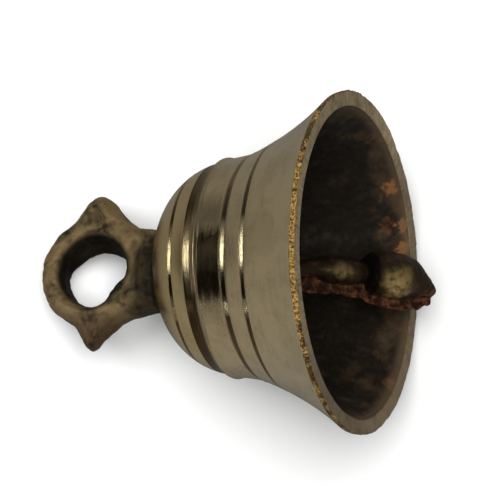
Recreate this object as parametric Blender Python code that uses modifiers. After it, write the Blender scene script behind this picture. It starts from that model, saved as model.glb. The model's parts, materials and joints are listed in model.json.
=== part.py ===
"""A small cast brass altar bell, lying on its side as it is put down between uses.

The turned bell carries a cast hanging loop on its crown. The loop's shank goes down
through the crown and is held inside by a washer and a nut. A wire hanger, headed over
in the loop and free to turn in the shank, ends in an eye, and the clapper swings in
that eye.

All sizes are in metres. The bell is modelled upright, with its mouth face at z = 0,
its axis on Z and its loop on top. Its parent empty then lays it down, turned about Y,
until the rim and the loop both touch z = 0, with the clapper on the lowest wall.
"""
import math

import bmesh
import bpy
from mathutils import Matrix, Vector

# ---- clearances
SEAT_GAP = 0.0003            # between two pieces that touch
REST_GAP = 0.00035           # between the lying ball and the wall, facets included
SHANK_CLEARANCE = 0.0003     # round the shank in the crown, the washer and the nut
PIN_CLEARANCE = 0.0003       # round the hanger's pin and head

# ---- bell body, radii from the axis, drops measured down from the crown face
BELL_HEIGHT = 0.0341
MOUTH_RADIUS = 0.0300
LIP_WIDTH = 0.0027
RIM_LAND = 0.0010            # straight land round the outside of the mouth
RIM_CHAMFER = 0.00015
CROWN_FLAT_RADIUS = 0.0106
SHOULDER_RADIUS = 0.0187
SHOULDER_DROP = 0.0087       # lower end of the domed shoulder
SHOULDER_BULGE = 0.0014
BAND_RADIUS = 0.0194         # lower edge of the raised band
BAND_DROP = 0.0111
WAIST_RADIUS = 0.0191        # just under the band's step
WAIST_DROP = 0.0118
FLARE_RADIUS = 0.0198        # where the flare leaves the waist
FLARE_DROP = 0.0162
FLARE_HOLLOW = 0.00084       # how far the flare curves in from a straight line
WAIST_WALL = 0.0023
CROWN_WALL = 0.0031
INNER_CROWN_RADIUS = 0.0085
INNER_SHOULDER_DROP = 0.0101
INNER_SHOULDER_BULGE = 0.0013
LIP_SLOPE_RISE = 0.0025      # steep strip just inside the mouth
LIP_SLOPE_RUN = 0.0011
INNER_FLARE_HOLLOW = 0.0005
# turned grooves: drop of the groove's middle, its width and its depth
GROOVES = (
    (0.00565, 0.0007, 0.00030),
    (0.00885, 0.0004, 0.00022),
    (0.01665, 0.0011, 0.00045),
    (0.02105, 0.0008, 0.00032),
)
GROOVE_FLOOR_SHARE = 0.4     # flat floor of a groove, as a share of its width

# ---- hanging loop, in its own flat plane; heights measured up from the crown face
LOOP_HOLE_HEIGHT = 0.0145
LOOP_HOLE_RADIUS = 0.0059
LOOP_END_RADIUS = 0.0101     # hole centre to the free end
LOOP_WING_REACH = 0.0141     # axis to the tip of a wing
LOOP_NECK_HALF_WIDTH = 0.0074
LOOP_THICKNESS = 0.0064
LOOP_EDGE_ROUND = 0.0017
LOOP_ROLL = math.radians(9.5)    # the loop isn't square to the lowest wall
FOOT_RADIUS = 0.0094
FOOT_THICKNESS = 0.0010
NECK_RADIUS = 0.0054
NECK_TOP_HEIGHT = 0.0062
SHANK_RADIUS = 0.0030
SHANK_PAST_NUT = 0.0005

# ---- washer and nut inside the crown
WASHER_RADIUS = 0.0065
WASHER_THICKNESS = 0.0010
NUT_ACROSS_FLATS = 0.0100
NUT_THICKNESS = 0.0030
NUT_SIDES = 6

# ---- clapper hanger
PIN_RADIUS = 0.0008
PIN_HEAD_RADIUS = 0.0019
PIN_HEAD_THICKNESS = 0.0009
HEAD_SINK = 0.0015           # counterbore depth below the loop's hole
EYE_WIRE_RADIUS = 0.0008
EYE_RADIUS = 0.0029          # middle of the wire

# ---- clapper, distances measured from the pivot towards the ball
CLAPPER_EYE_WIRE_RADIUS = 0.0011
CLAPPER_EYE_RADIUS = 0.0029
ROD_RADIUS = 0.0018
BALL_RADIUS = 0.0050
BALL_HEIGHT = 0.0011         # ball's centre above the mouth face when it rests
SWELL_RADIUS = 0.0033        # the swelling on the rod
SWELL_LENGTH = 0.0076
SWELL_TO_BALL = 0.0107       # middle of the swelling to the ball's centre
NECK_WAIST_RADIUS = 0.0016   # thin place between the swelling and the ball
TIP_RADIUS = 0.0017
TIP_LENGTH = 0.0024          # how far the tip stands out of the ball

# ---- facets
BODY_SEGMENTS = 60
SMALL_SEGMENTS = 24
WIRE_SEGMENTS = 10
MERGE_DISTANCE = 0.000005
SMOOTH_ANGLE = math.radians(35)

COLLECTION_NAME = "sanctus_bell"
CUTTER_COLLECTION_NAME = "sanctus_bell_cutters"

# ---- heights that follow from the sizes above
SHANK_BORE_RADIUS = SHANK_RADIUS + SHANK_CLEARANCE
INNER_CROWN_Z = BELL_HEIGHT - CROWN_WALL
WASHER_TOP_Z = INNER_CROWN_Z - SEAT_GAP
NUT_TOP_Z = WASHER_TOP_Z - WASHER_THICKNESS - SEAT_GAP
SHANK_END_Z = NUT_TOP_Z - NUT_THICKNESS - SHANK_PAST_NUT
FOOT_Z = BELL_HEIGHT + SEAT_GAP
HOLE_Z = BELL_HEIGHT + LOOP_HOLE_HEIGHT
HEAD_SEAT_Z = HOLE_Z - LOOP_HOLE_RADIUS - HEAD_SINK
EYE_CENTRE_Z = SHANK_END_Z - SEAT_GAP - EYE_WIRE_RADIUS - EYE_RADIUS
PIVOT_Z = EYE_CENTRE_Z - EYE_RADIUS


def metal(name, colour, roughness):
    """A plain metal in the piece's own colour."""
    material = bpy.data.materials.new(name)
    material.use_nodes = True
    shader = material.node_tree.nodes["Principled BSDF"]
    shader.inputs["Base Color"].default_value = (*colour, 1.0)
    shader.inputs["Metallic"].default_value = 1.0
    shader.inputs["Roughness"].default_value = roughness
    return material


def new_collection(name):
    collection = bpy.data.collections.new(name)
    bpy.context.scene.collection.children.link(collection)
    return collection


def move_to(piece, collection):
    """Put a piece in one collection only."""
    for old in list(piece.users_collection):
        old.objects.unlink(piece)
    collection.objects.link(piece)
    return piece


def hide_cutter(piece, cutters):
    """A tool that cuts or joins: drawn as wire, never rendered."""
    piece.hide_render = True
    piece.display_type = "WIRE"
    return move_to(piece, cutters)


def arc_points(start, end, bulge, count):
    """Points after start, up to and including end, on an arc that bulges left of the way."""
    a = Vector(start)
    b = Vector(end)
    chord = b - a
    side = Vector((-chord.y, chord.x)).normalized()
    half = chord.length / 2
    radius = (half * half + bulge * bulge) / (2 * bulge)
    centre = (a + b) / 2 + side * (bulge - radius)
    turn = 2 * math.asin(half / radius)
    spoke = a - centre
    points = []
    for step in range(1, count + 1):
        angle = -turn * step / count
        turned_spoke = Matrix.Rotation(angle, 2) @ spoke
        points.append(tuple(centre + turned_spoke))
    return points


def radius_at(contour, z):
    """Radius of a contour at one height; its points run down or up steadily."""
    for (r0, z0), (r1, z1) in zip(contour, contour[1:]):
        if min(z0, z1) <= z <= max(z0, z1) and z0 != z1:
            return r0 + (r1 - r0) * (z - z0) / (z1 - z0)
    raise ValueError("the contour doesn't reach this height")


def cut_groove(contour, z, width, depth):
    """The contour, running down, with a flat-bottomed groove turned into it."""
    top = z + width / 2
    bottom = z - width / 2
    floor = width * GROOVE_FLOOR_SHARE / 2
    above = [point for point in contour if point[1] > top]
    below = [point for point in contour if point[1] < bottom]
    groove = [
        (radius_at(contour, top), top),
        (radius_at(contour, z) - depth, z + floor),
        (radius_at(contour, z) - depth, z - floor),
        (radius_at(contour, bottom), bottom),
    ]
    return above + groove + below


def outer_contour():
    """Outside of the bell, from the crown flat down to the mouth face."""
    shoulder = (SHOULDER_RADIUS, BELL_HEIGHT - SHOULDER_DROP)
    band = (BAND_RADIUS, BELL_HEIGHT - BAND_DROP)
    waist = (WAIST_RADIUS, BELL_HEIGHT - WAIST_DROP)
    flare = (FLARE_RADIUS, BELL_HEIGHT - FLARE_DROP)
    rim_back = (MOUTH_RADIUS - RIM_CHAMFER, RIM_LAND)
    contour = [(CROWN_FLAT_RADIUS, BELL_HEIGHT)]
    contour += arc_points(contour[0], shoulder, SHOULDER_BULGE, 7)
    contour += [band, waist, flare]
    contour += arc_points(flare, rim_back, -FLARE_HOLLOW, 9)
    contour.append((MOUTH_RADIUS, RIM_CHAMFER))
    contour.append((MOUTH_RADIUS - RIM_CHAMFER, 0.0))
    for drop, width, depth in GROOVES:
        contour = cut_groove(contour, BELL_HEIGHT - drop, width, depth)
    return contour


def inner_contour():
    """Inside of the bell, from the mouth face up to the inner crown."""
    mouth = (MOUTH_RADIUS - LIP_WIDTH, 0.0)
    lip_top = (mouth[0] - LIP_SLOPE_RUN, LIP_SLOPE_RISE)
    waist = (FLARE_RADIUS - WAIST_WALL, BELL_HEIGHT - FLARE_DROP)
    shoulder = (WAIST_RADIUS - WAIST_WALL, BELL_HEIGHT - INNER_SHOULDER_DROP)
    crown = (INNER_CROWN_RADIUS, INNER_CROWN_Z)
    contour = [mouth, lip_top]
    contour += arc_points(lip_top, waist, INNER_FLARE_HOLLOW, 6)
    contour.append(shoulder)
    contour += arc_points(shoulder, crown, -INNER_SHOULDER_BULGE, 6)
    return contour


def ball_rest_radius():
    """Distance of the resting ball's centre from the axis, with its gap to the wall."""
    reach = BALL_RADIUS + REST_GAP
    wall = inner_contour()
    samples = 40
    nearest = []
    for step in range(samples + 1):
        z = BALL_HEIGHT - BALL_HEIGHT * step / samples
        nearest.append((radius_at(wall, z), z))
        z = BALL_HEIGHT + reach * step / samples
        nearest.append((radius_at(wall, z), z))
    return min(r - math.sqrt(reach ** 2 - (z - BALL_HEIGHT) ** 2) for r, z in nearest)


def turned(name, outline, segments, closed, collection, material):
    """A solid of revolution about Z from an outline of (radius, height) points."""
    count = len(outline)
    edges = [(i, i + 1) for i in range(count - 1)]
    if closed:
        edges.append((count - 1, 0))
    mesh = bpy.data.meshes.new(name)
    mesh.from_pydata([(r, 0.0, z) for r, z in outline], edges, [])
    piece = bpy.data.objects.new(name, mesh)
    collection.objects.link(piece)
    screw = piece.modifiers.new("turn", "SCREW")
    screw.steps = segments
    screw.render_steps = segments
    screw.use_merge_vertices = True
    screw.merge_threshold = MERGE_DISTANCE
    screw.use_smooth_shade = True
    mesh.materials.append(material)
    return piece


def wire_ring(name, radius, wire_radius, centre_z, turn, collection):
    """A round ring standing up, its hole looking along X after a turn about Z."""
    bpy.ops.mesh.primitive_torus_add(
        major_radius=radius,
        minor_radius=wire_radius,
        major_segments=SMALL_SEGMENTS,
        minor_segments=WIRE_SEGMENTS,
        location=(0.0, 0.0, centre_z),
        rotation=(math.radians(90), 0.0, turn),
    )
    ring = bpy.context.object
    ring.name = name
    return hide_cutter(ring, collection)


def cylinder(name, radius, low_z, high_z, cutters, sides=SMALL_SEGMENTS):
    """A cutting or joining cylinder on the axis."""
    bpy.ops.mesh.primitive_cylinder_add(
        vertices=sides,
        radius=radius,
        depth=high_z - low_z,
        location=(0.0, 0.0, (low_z + high_z) / 2),
    )
    piece = bpy.context.object
    piece.name = name
    return hide_cutter(piece, cutters)


def boolean(piece, tool, operation):
    modifier = piece.modifiers.new(tool.name, "BOOLEAN")
    modifier.operation = operation
    modifier.object = tool
    modifier.solver = "EXACT"


def smooth_by_angle(piece):
    """Round faces shaded smooth, corners kept sharp."""
    piece.data.shade_smooth()
    piece.data.set_sharp_from_angle(angle=SMOOTH_ANGLE)


def curve_to_mesh(curve_object, name, collection, material):
    """A closed mesh object from a curve, with its loose caps welded on."""
    depsgraph = bpy.context.evaluated_depsgraph_get()
    mesh = bpy.data.meshes.new_from_object(curve_object.evaluated_get(depsgraph))
    shape = bmesh.new()
    shape.from_mesh(mesh)
    bmesh.ops.remove_doubles(shape, verts=shape.verts, dist=MERGE_DISTANCE)
    shape.to_mesh(mesh)
    shape.free()
    mesh.name = name
    mesh.materials.clear()
    mesh.materials.append(material)
    piece = bpy.data.objects.new(name, mesh)
    piece.matrix_world = curve_object.matrix_world.copy()
    collection.objects.link(piece)
    bpy.data.objects.remove(curve_object)
    return piece


def make_bell_body(parts, material):
    outline = outer_contour() + inner_contour()
    outline.append((SHANK_BORE_RADIUS, INNER_CROWN_Z))
    outline.append((SHANK_BORE_RADIUS, BELL_HEIGHT))
    body = turned("bell_body", outline, BODY_SEGMENTS, True, parts, material)
    body.rotation_euler.z = math.pi / BODY_SEGMENTS
    return body


def loop_half_outline():
    """Half of the loop's flat outline as (across, up), from the free end to the foot."""
    end = HOLE_Z + LOOP_END_RADIUS
    wing = LOOP_WING_REACH
    neck = LOOP_NECK_HALF_WIDTH
    shoulder = LOOP_END_RADIUS * math.sin(math.radians(38))
    shoulder_up = HOLE_Z + LOOP_END_RADIUS * math.cos(math.radians(38))
    return [
        (0.0, end),
        (shoulder, shoulder_up),
        ((shoulder + wing) / 2 - 0.0003, HOLE_Z + 0.0041),
        (wing - 0.0006, HOLE_Z + 0.0014),
        (wing - 0.0003, HOLE_Z - 0.0008),
        ((wing + neck) / 2, HOLE_Z - 0.0040),
        (neck + 0.0006, HOLE_Z - 0.0074),
        (neck, FOOT_Z + 0.0026),
        (neck, FOOT_Z + FOOT_THICKNESS / 2),
    ]


def make_crown_loop(parts, cutters, material):
    """The cast loop, its round foot and its drilled shank, in one piece."""
    half = loop_half_outline()
    outline = half + [(-across, up) for across, up in reversed(half[1:])]
    curve = bpy.data.curves.new("crown_loop_outline", "CURVE")
    curve.dimensions = "2D"
    curve.fill_mode = "BOTH"
    curve.resolution_u = 4
    curve.extrude = LOOP_THICKNESS / 2 - LOOP_EDGE_ROUND
    curve.bevel_depth = LOOP_EDGE_ROUND
    curve.bevel_resolution = 1
    curve.offset = -LOOP_EDGE_ROUND
    spline = curve.splines.new("BEZIER")
    spline.bezier_points.add(len(outline) - 1)
    spline.use_cyclic_u = True
    for knot, (across, up) in zip(spline.bezier_points, outline):
        knot.co = (across, up, 0.0)
        knot.handle_left_type = "AUTO"
        knot.handle_right_type = "AUTO"
    for foot_knot in (spline.bezier_points[len(half) - 1], spline.bezier_points[len(half)]):
        foot_knot.handle_left_type = "VECTOR"
        foot_knot.handle_right_type = "VECTOR"
    hole = curve.splines.new("POLY")
    hole.points.add(SMALL_SEGMENTS - 1)
    hole.use_cyclic_u = True
    for index, point in enumerate(hole.points):
        angle = 2 * math.pi * index / SMALL_SEGMENTS
        across = LOOP_HOLE_RADIUS * math.cos(angle)
        up = HOLE_Z + LOOP_HOLE_RADIUS * math.sin(angle)
        point.co = (across, up, 0.0, 1.0)
    outline_object = bpy.data.objects.new("crown_loop_outline", curve)
    parts.objects.link(outline_object)
    outline_object.rotation_euler = (math.radians(90), 0.0, math.radians(90) + LOOP_ROLL)
    bpy.context.view_layer.update()
    loop = curve_to_mesh(outline_object, "crown_loop", parts, material)

    neck_top_z = FOOT_Z + NECK_TOP_HEIGHT
    foot_top_z = FOOT_Z + FOOT_THICKNESS
    foot_outline = [(0.0, neck_top_z), (NECK_RADIUS * 0.6, neck_top_z)]
    foot_outline.append((NECK_RADIUS, neck_top_z - 0.0012))
    foot_outline += arc_points(foot_outline[-1], (FOOT_RADIUS, foot_top_z), -0.0011, 4)
    foot_outline += [
        (FOOT_RADIUS, FOOT_Z),
        (SHANK_RADIUS, FOOT_Z),
        (SHANK_RADIUS, SHANK_END_Z),
        (0.0, SHANK_END_Z),
    ]
    foot = turned("loop_foot_and_shank", foot_outline, 2 * SMALL_SEGMENTS, False, cutters, material)
    hide_cutter(foot, cutters)
    bore = cylinder(
        "hanger_bore", PIN_RADIUS + PIN_CLEARANCE, SHANK_END_Z - PIN_RADIUS, HOLE_Z, cutters, 16
    )
    counterbore = cylinder(
        "hanger_head_counterbore", PIN_HEAD_RADIUS + PIN_CLEARANCE, HEAD_SEAT_Z, HOLE_Z, cutters, 20
    )
    boolean(loop, foot, "UNION")
    boolean(loop, bore, "DIFFERENCE")
    boolean(loop, counterbore, "DIFFERENCE")
    return loop


def make_crown_washer(parts, material):
    low_z = WASHER_TOP_Z - WASHER_THICKNESS
    outline = [
        (SHANK_BORE_RADIUS, WASHER_TOP_Z),
        (WASHER_RADIUS, WASHER_TOP_Z),
        (WASHER_RADIUS, low_z),
        (SHANK_BORE_RADIUS, low_z),
    ]
    return turned("crown_washer", outline, 2 * SMALL_SEGMENTS, True, parts, material)


def make_crown_nut(parts, cutters, material):
    """A six-sided nut with its corners chamfered off by a turned cone."""
    low_z = NUT_TOP_Z - NUT_THICKNESS
    corner_radius = NUT_ACROSS_FLATS / 2 / math.cos(math.pi / NUT_SIDES)
    chamfer = corner_radius - NUT_ACROSS_FLATS / 2
    bpy.ops.mesh.primitive_cylinder_add(
        vertices=NUT_SIDES,
        radius=corner_radius,
        depth=NUT_THICKNESS,
        location=(0.0, 0.0, NUT_TOP_Z - NUT_THICKNESS / 2),
    )
    nut = move_to(bpy.context.object, parts)
    nut.name = "crown_nut"
    nut.data.materials.append(material)
    rounding_outline = [
        (0.0, NUT_TOP_Z + chamfer),
        (corner_radius + chamfer, NUT_TOP_Z + chamfer),
        (corner_radius + chamfer, low_z + chamfer / 2),
        (NUT_ACROSS_FLATS / 2, low_z),
        (0.0, low_z),
    ]
    rounding = turned("nut_rounding", rounding_outline, 2 * SMALL_SEGMENTS, False, cutters, material)
    hide_cutter(rounding, cutters)
    bore = cylinder(
        "nut_bore", SHANK_BORE_RADIUS, low_z - chamfer, NUT_TOP_Z + chamfer, cutters
    )
    boolean(nut, rounding, "INTERSECT")
    boolean(nut, bore, "DIFFERENCE")
    return nut


def make_clapper_hanger(parts, cutters, material):
    """Rivet head, straight pin and wire eye; the eye's hole looks along X."""
    head_z = HEAD_SEAT_Z + SEAT_GAP
    head_top_z = head_z + PIN_HEAD_THICKNESS
    outline = [
        (0.0, head_top_z),
        (PIN_HEAD_RADIUS * 0.7, head_top_z - PIN_HEAD_THICKNESS * 0.15),
        (PIN_HEAD_RADIUS, head_top_z - PIN_HEAD_THICKNESS * 0.6),
        (PIN_HEAD_RADIUS, head_z),
        (PIN_RADIUS, head_z),
        (PIN_RADIUS, EYE_CENTRE_Z + EYE_RADIUS),
        (0.0, EYE_CENTRE_Z + EYE_RADIUS),
    ]
    hanger = turned("clapper_hanger", outline, 16, False, parts, material)
    ring = wire_ring(
        "hanger_eye", EYE_RADIUS, EYE_WIRE_RADIUS, EYE_CENTRE_Z, math.radians(90), cutters
    )
    boolean(hanger, ring, "UNION")
    return hanger


def make_clapper(parts, cutters, material):
    """The cast clapper, modelled hanging straight down with its pivot at the origin."""
    length = math.hypot(ball_rest_radius(), PIVOT_Z - BALL_HEIGHT)
    wire_gap = EYE_WIRE_RADIUS + SEAT_GAP + CLAPPER_EYE_WIRE_RADIUS
    eye_centre_z = wire_gap - CLAPPER_EYE_RADIUS
    eye_bottom_z = eye_centre_z - CLAPPER_EYE_RADIUS
    swell_z = SWELL_TO_BALL - length
    swell_top_z = swell_z + SWELL_LENGTH / 2
    swell_end_z = swell_z - SWELL_LENGTH / 2
    outline = [(0.0, eye_bottom_z), (ROD_RADIUS, eye_bottom_z - ROD_RADIUS * 0.3)]
    outline.append((ROD_RADIUS, swell_top_z))
    outline += arc_points(outline[-1], (SWELL_RADIUS, swell_z + SWELL_LENGTH / 5), 0.0003, 2)
    outline.append((SWELL_RADIUS, swell_z - SWELL_LENGTH / 5))
    outline += arc_points(outline[-1], (NECK_WAIST_RADIUS, swell_end_z), 0.0003, 2)
    neck_angle = math.asin(NECK_WAIST_RADIUS / BALL_RADIUS)
    tip_angle = math.asin(TIP_RADIUS / BALL_RADIUS)
    ball_steps = 9
    for step in range(ball_steps + 1):
        angle = neck_angle + (math.pi - tip_angle - neck_angle) * step / ball_steps
        outline.append((BALL_RADIUS * math.sin(angle), BALL_RADIUS * math.cos(angle) - length))
    tip_z = -length - BALL_RADIUS - TIP_LENGTH
    outline.append((TIP_RADIUS, tip_z + TIP_LENGTH * 0.5))
    outline.append((TIP_RADIUS * 0.6, tip_z + TIP_LENGTH * 0.1))
    outline.append((0.0, tip_z))
    clapper = turned("clapper", outline, SMALL_SEGMENTS, False, parts, material)
    ring = wire_ring(
        "clapper_eye", CLAPPER_EYE_RADIUS, CLAPPER_EYE_WIRE_RADIUS, eye_centre_z, 0.0, cutters
    )
    boolean(clapper, ring, "UNION")
    return clapper, ring


def evaluated_points(piece):
    """World positions of a piece's vertices, modifiers applied."""
    depsgraph = bpy.context.evaluated_depsgraph_get()
    evaluated = piece.evaluated_get(depsgraph)
    mesh = evaluated.to_mesh()
    points = [evaluated.matrix_world @ vertex.co for vertex in mesh.vertices]
    evaluated.to_mesh_clear()
    return points


def depth_below_axis(points, tilt):
    """How far the points reach down when the bell is laid down at this tilt."""
    return max(point.z * math.sin(tilt) - point.x * math.cos(tilt) for point in points)


def lying_tilt(body_points, loop_points):
    """Tilt of the axis at which the rim and the loop touch the same level surface."""
    low, high = 0.0, math.radians(60)
    for _ in range(40):
        middle = (low + high) / 2
        if depth_below_axis(loop_points, middle) < depth_below_axis(body_points, middle):
            low = middle
        else:
            high = middle
    return (low + high) / 2


def lay_down(frame, pieces, body, loop):
    """Lay the bell on z = 0, with the middle of its outline over the origin."""
    tilt = lying_tilt(evaluated_points(body), evaluated_points(loop))
    frame.rotation_euler = (0.0, -math.pi / 2 - tilt, 0.0)
    bpy.context.view_layer.update()
    points = [point for piece in pieces for point in evaluated_points(piece)]
    low = [min(point[axis] for point in points) for axis in range(3)]
    high = [max(point[axis] for point in points) for axis in range(3)]
    frame.location = (-(low[0] + high[0]) / 2, -(low[1] + high[1]) / 2, -low[2])
    bpy.context.view_layer.update()


def empty(name, location, parts):
    marker = bpy.data.objects.new(name, None)
    marker.location = location
    marker.empty_display_size = BALL_RADIUS
    parts.objects.link(marker)
    return marker


def main():
    for old in list(bpy.data.objects):
        bpy.data.objects.remove(old)
    parts = new_collection(COLLECTION_NAME)
    cutters = new_collection(CUTTER_COLLECTION_NAME)

    turned_brass = metal("turned_brass", (0.52, 0.44, 0.27), 0.28)
    dark_bronze = metal("dark_cast_bronze", (0.15, 0.11, 0.07), 0.45)
    inner_brass = metal("dull_brass", (0.30, 0.24, 0.13), 0.45)
    iron_wire = metal("iron_wire", (0.22, 0.20, 0.19), 0.50)
    rough_brass = metal("rough_cast_brass", (0.30, 0.21, 0.11), 0.50)

    body = make_bell_body(parts, turned_brass)
    loop = make_crown_loop(parts, cutters, dark_bronze)
    washer = make_crown_washer(parts, inner_brass)
    nut = make_crown_nut(parts, cutters, inner_brass)
    hanger = make_clapper_hanger(parts, cutters, iron_wire)
    clapper, clapper_eye = make_clapper(parts, cutters, rough_brass)
    pieces = [body, loop, washer, nut, hanger, clapper]
    for piece in (loop, nut):
        smooth_by_angle(piece)

    frame = empty("bell_frame", (0.0, 0.0, 0.0), parts)
    swivel = empty("hanger_swivel_axis", (0.0, 0.0, PIVOT_Z), parts)
    swivel.parent = frame
    rest_swing = math.atan2(ball_rest_radius(), PIVOT_Z - BALL_HEIGHT)
    for piece in (clapper, clapper_eye):
        piece.parent = swivel
    clapper.rotation_euler.y = rest_swing
    eye_place = Matrix.Rotation(rest_swing, 4, "Y") @ clapper_eye.matrix_basis
    clapper_eye.matrix_basis = eye_place
    hanger.parent = swivel
    hanger.location.z = -PIVOT_Z
    for piece in list(parts.objects) + list(cutters.objects):
        if piece.parent is None and piece is not frame:
            piece.parent = frame
    eye_ring = cutters.objects["hanger_eye"]
    eye_ring.parent = swivel
    eye_ring.location.z -= PIVOT_Z
    bpy.context.view_layer.update()
    lay_down(frame, pieces, body, loop)


main()
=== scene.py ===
"""A small cast brass altar bell on its side: detailed pieces, finishes and studio."""

import json
import math

import bmesh
import bpy
from mathutils import Matrix, Vector, noise


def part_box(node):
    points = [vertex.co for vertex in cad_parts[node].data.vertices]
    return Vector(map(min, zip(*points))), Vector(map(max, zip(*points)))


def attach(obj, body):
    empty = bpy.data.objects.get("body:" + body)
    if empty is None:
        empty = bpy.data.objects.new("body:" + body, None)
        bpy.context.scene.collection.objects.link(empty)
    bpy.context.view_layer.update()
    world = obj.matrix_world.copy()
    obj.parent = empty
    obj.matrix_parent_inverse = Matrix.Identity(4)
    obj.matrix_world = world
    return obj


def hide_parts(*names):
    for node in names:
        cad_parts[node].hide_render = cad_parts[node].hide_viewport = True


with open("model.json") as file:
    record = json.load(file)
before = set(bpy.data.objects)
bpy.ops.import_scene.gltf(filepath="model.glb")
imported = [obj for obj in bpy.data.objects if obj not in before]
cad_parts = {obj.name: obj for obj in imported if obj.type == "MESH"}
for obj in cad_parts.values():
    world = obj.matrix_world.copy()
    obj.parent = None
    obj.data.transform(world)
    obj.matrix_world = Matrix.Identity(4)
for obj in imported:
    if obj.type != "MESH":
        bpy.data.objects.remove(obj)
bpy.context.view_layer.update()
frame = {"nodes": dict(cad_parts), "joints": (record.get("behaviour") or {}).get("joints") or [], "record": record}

bl_info = {
    "name": "Sanctus Bell",
    "version": (1, 0, 0),
    "blender": (4, 5, 0),
    "location": "View3D > Sidebar > Bell",
    "description": "Detailed pieces, finishes and studio for a small cast altar bell",
    "category": "Object",
}

WELD = 0.000002


def joint_called(name):
    """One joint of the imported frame."""
    return next(joint for joint in frame["joints"] if joint["name"] == name)


def mount_called(name):
    """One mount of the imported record."""
    return next(mount for mount in frame["record"]["mounts"] if mount["name"] == name)


def bell_axes():
    """From an upright bell, mouth face at z = 0 and loop on top, to the lying one."""
    swivel = joint_called("hanger_swivel")
    up = Vector(swivel["axis"]).normalized()
    side = Vector((0.0, 1.0, 0.0))
    front = side.cross(up)
    pivot = Vector(swivel["pos_m"])
    lip = Vector(mount_called("mouth_face")["pos_m"])
    matrix = Matrix((front, side, up)).transposed().to_4x4()
    matrix.translation = pivot + up * (lip - pivot).dot(up)
    return matrix


BELL_AXES = bell_axes()
BELL_AXES_BACK = BELL_AXES.inverted()
PIVOT = BELL_AXES_BACK @ Vector(joint_called("clapper_swing")["pos_m"])
LOOP_NORMAL = BELL_AXES_BACK.to_3x3() @ Vector(mount_called("loop_side_face")["axis"])


# ---------------------------------------------------------------- sizes and colours


def length(name, description, default):
    return bpy.props.FloatProperty(
        name=name, description=description, default=default, min=0.0, unit="LENGTH", precision=5
    )


def colour(name, description, default):
    return bpy.props.FloatVectorProperty(
        name=name, description=description, default=default, subtype="COLOR", min=0.0, max=1.0
    )


class BellSizes(bpy.types.PropertyGroup):
    """Sizes of the turned bell; drops are measured down from the crown face"""

    height: length("Height", "Mouth face to crown face", 0.0341)
    mouth_radius: length("Mouth radius", "Outside of the mouth", 0.0300)
    lip_width: length("Lip width", "Flat filed face of the mouth", 0.0025)
    rim_land: length("Rim land", "Rough straight land round the mouth", 0.0010)
    crown_radius: length("Crown radius", "Flat top of the crown", 0.0106)
    shoulder_radius: length("Shoulder radius", "Lower end of the dome", 0.0183)
    shoulder_drop: length("Shoulder drop", "Lower end of the dome", 0.0087)
    band_radius: length("Band radius", "Lower edge of the raised band", 0.0194)
    band_drop: length("Band drop", "Lower edge of the raised band", 0.0111)
    waist_radius: length("Waist radius", "Just under the band", 0.0191)
    waist_drop: length("Waist drop", "Just under the band", 0.0118)
    flare_radius: length("Flare radius", "Where the flare leaves the waist", 0.0198)
    flare_drop: length("Flare drop", "Where the flare leaves the waist", 0.0162)
    wall: length("Wall", "Wall thickness at the waist", 0.0023)
    crown_wall: length("Crown wall", "Thickness of the crown", 0.0031)
    bore_radius: length("Bore radius", "Hole through the crown for the shank", 0.0033)
    cast_roughness: length("Cast roughness", "Height of the lumps inside", 0.00011)
    rim_roughness: length("Rim roughness", "Depth of the nicks round the mouth", 0.00016)
    steps: bpy.props.IntProperty(
        name="Steps", description="Steps of one full turn", default=480, min=24, max=600
    )


class FittingSizes(bpy.types.PropertyGroup):
    """Sizes of the loop's, the clapper's and the hanger's surface"""

    loop_grain: length("Loop grain", "Mesh size of the loop", 0.00026)
    loop_lumps: length("Loop lumps", "Height of the loop's casting lumps", 0.00022)
    clapper_grain: length("Clapper grain", "Mesh size of the clapper", 0.00019)
    clapper_lumps: length("Clapper lumps", "Height of the clapper's casting lumps", 0.00012)
    flash_reach: length("Flash reach", "How far the mould's flash stands out", 0.0012)
    flash_thickness: length("Flash thickness", "Thickness of the mould's flash", 0.0008)
    hanger_grain: length("Hanger grain", "Mesh size of the wire", 0.00013)


class BellColours(bpy.types.PropertyGroup):
    """Base colours of the finishes"""

    brass: colour("Brass", "Turned brass", (0.80, 0.62, 0.36))
    tarnish: colour("Tarnish", "Thin brown film on the brass", (0.34, 0.24, 0.12))
    groove_dirt: colour("Groove dirt", "Old polish and dirt in the grooves", (0.10, 0.070, 0.034))
    gold: colour("Gold", "Fresh metal on the nicked rim", (0.92, 0.56, 0.17))
    bronze: colour("Bronze", "High places of the cast loop", (0.35, 0.24, 0.112))
    bronze_dark: colour("Dark bronze", "Low places of the cast loop", (0.045, 0.031, 0.017))
    soot: colour("Soot", "Blackened inside of the bell", (0.016, 0.012, 0.008))
    rust: colour("Rust", "Orange patches inside", (0.30, 0.12, 0.035))
    # colour of the clapper's painted highlights on the ball and the swelling
    clapper_highlight_brass: colour("Clapper brass", "High places of the clapper", (0.72, 0.51, 0.20))
    clapper_brown: colour("Clapper brown", "Reddish skin of the clapper", (0.20, 0.085, 0.04))
    iron: colour("Iron", "Hanger wire", (0.10, 0.085, 0.075))
    floor: colour("Floor", "Pale floor", (0.86, 0.86, 0.85))


# ---------------------------------------------------------------- shaping helpers


def arc_points(start, end, bulge, count):
    """Points after start, up to and including end, on an arc that bulges left of the way."""
    a = Vector(start)
    b = Vector(end)
    chord = b - a
    side = Vector((-chord.y, chord.x)).normalized()
    half = chord.length / 2
    radius = (half * half + bulge * bulge) / (2 * bulge)
    centre = (a + b) / 2 + side * (bulge - radius)
    turn = 2 * math.asin(half / radius)
    spoke = a - centre
    points = []
    for step in range(1, count + 1):
        turned = Matrix.Rotation(-turn * step / count, 2) @ spoke
        points.append(tuple(centre + turned))
    return points


def line_points(start, end, count):
    """Points after start, up to and including end, on a straight line."""
    a = Vector(start)
    b = Vector(end)
    return [tuple(a.lerp(b, step / count)) for step in range(1, count + 1)]


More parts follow.
